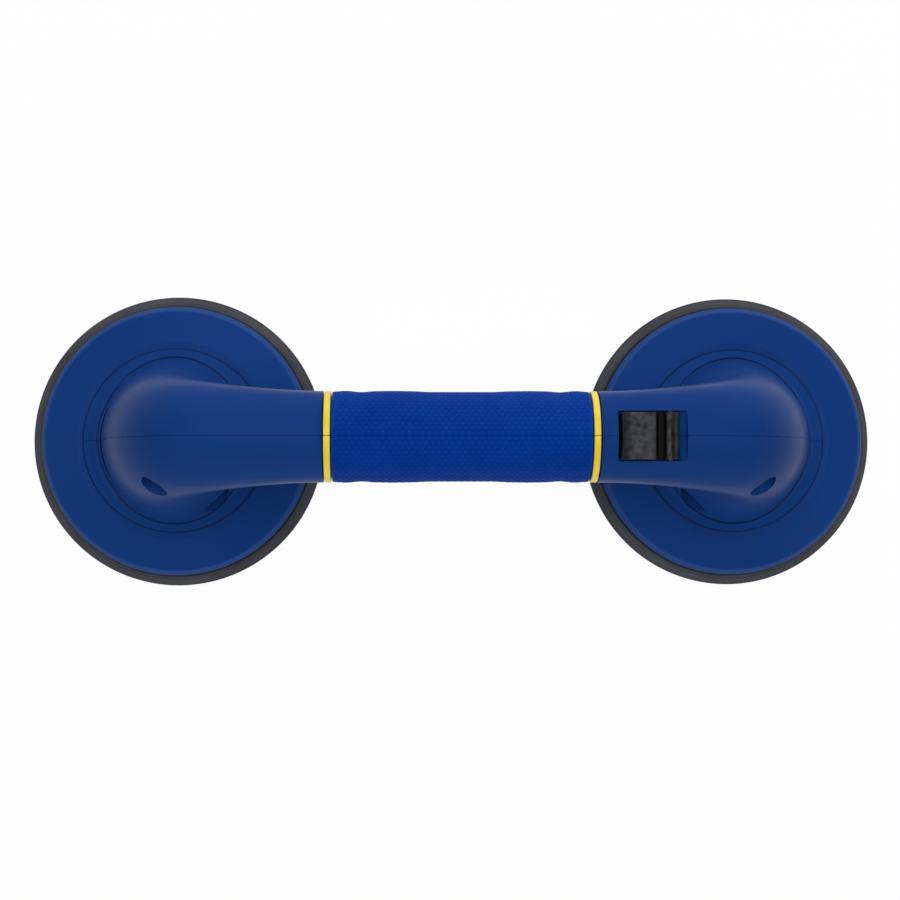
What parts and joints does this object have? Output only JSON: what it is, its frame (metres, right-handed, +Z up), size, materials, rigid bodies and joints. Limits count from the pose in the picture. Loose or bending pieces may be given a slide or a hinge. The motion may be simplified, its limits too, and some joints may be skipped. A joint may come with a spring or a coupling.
{
  "type": "suction lifter",
  "caption": "Two-cup suction lifter for floor tiles, with a bridge handle whose squeeze trigger lifts both pads and a thumb release.",
  "frame": {"origin": "on the supporting surface, midway between the two cups", "axes": "+X along the handle from the plain cup to the cup under the thumb release, +Z up away from the surface, -Y towards the side with the screw recesses"},
  "size_m": [0.343, 0.1178, 0.0934],
  "materials": {
    "housing_plastic": "fine satin moulded ABS, deep blue",
    "grip_overmould": "soft overmoulded grip with rows of small scallops, brighter blue",
    "trigger_plastic": "satin moulded plastic, deep blue",
    "accent_plastic": "smooth yellow accent ring",
    "release_plastic": "smooth black moulded thumb release",
    "pad_rubber": "dull dark grey rubber",
    "plated_steel": "zinc-plated steel"
  },
  "bodies": {
    "root": {"cup_disc_left": "housing_plastic", "cup_disc_right": "housing_plastic", "grip_front": "grip_overmould", "grip_rear": "grip_overmould", "handle_shell_front": "housing_plastic", "handle_shell_rear": "housing_plastic", "lever_pivot_pin_left": "plated_steel", "lever_pivot_pin_right": "plated_steel", "ring_left_front": "accent_plastic", "ring_left_rear": "accent_plastic", "ring_right_front": "accent_plastic", "ring_right_rear": "accent_plastic", "rocker_pin": "plated_steel", "rocker_spring": "plated_steel", "shell_screws": "plated_steel", "suction_pad_left": "pad_rubber", "suction_pad_right": "pad_rubber", "trigger_spring": "plated_steel"},
    "trigger_bar": {"trigger": "trigger_plastic", "trigger_pin_left": "plated_steel", "trigger_pin_right": "plated_steel", "ratchet_strip": "plated_steel"},
    "release": {"release_rocker": "release_plastic"},
    "left_lever": {"lift_lever_left": "plated_steel"},
    "left_stud": {"pull_stud_left": "plated_steel", "stud_pin_left": "plated_steel"},
    "right_lever": {"lift_lever_right": "plated_steel"},
    "right_stud": {"pull_stud_right": "plated_steel", "stud_pin_right": "plated_steel"}
  },
  "joints": [
    {"name": "trigger_squeeze", "type": "slide", "parent": "root", "child": "trigger_bar", "axis": [0, 0, 1], "range_m": [0, 0.014], "stiffness_N_per_m": 350, "springref_m": -0.012, "deforming": ["trigger_spring"]},
    {"name": "left_lever_swing", "type": "hinge", "parent": "root", "child": "left_lever", "pos_m": [-0.1265, 0, 0.052], "axis": [0, -1, 0], "range_deg": [0, 14.7]},
    {"name": "left_stud_lift", "type": "slide", "parent": "root", "child": "left_stud", "axis": [0, 0, 1], "range_m": [0, 0.0036], "deforming": ["suction_pad_left"]},
    {"name": "right_lever_swing", "type": "hinge", "parent": "root", "child": "right_lever", "pos_m": [0.1265, 0, 0.052], "axis": [0, 1, 0], "range_deg": [0, 14.7]},
    {"name": "right_stud_lift", "type": "slide", "parent": "root", "child": "right_stud", "axis": [0, 0, 1], "range_m": [0, 0.0036], "deforming": ["suction_pad_right"]},
    {"name": "release_press", "type": "hinge", "parent": "root", "child": "release", "pos_m": [0.076, 0, 0.088], "axis": [0, -1, 0], "range_deg": [-5.5, 7], "stiffness_Nm_per_rad": 0.12, "deforming": ["rocker_spring"]}
  ],
  "couplings": [
    {"joint": "left_lever_swing", "follows": "trigger_squeeze", "rad_per_m": 18.249},
    {"joint": "left_stud_lift", "follows": "trigger_squeeze", "ratio": 0.25479},
    {"joint": "right_lever_swing", "follows": "trigger_squeeze", "rad_per_m": 18.249},
    {"joint": "right_stud_lift", "follows": "trigger_squeeze", "ratio": 0.25479}
  ]
}
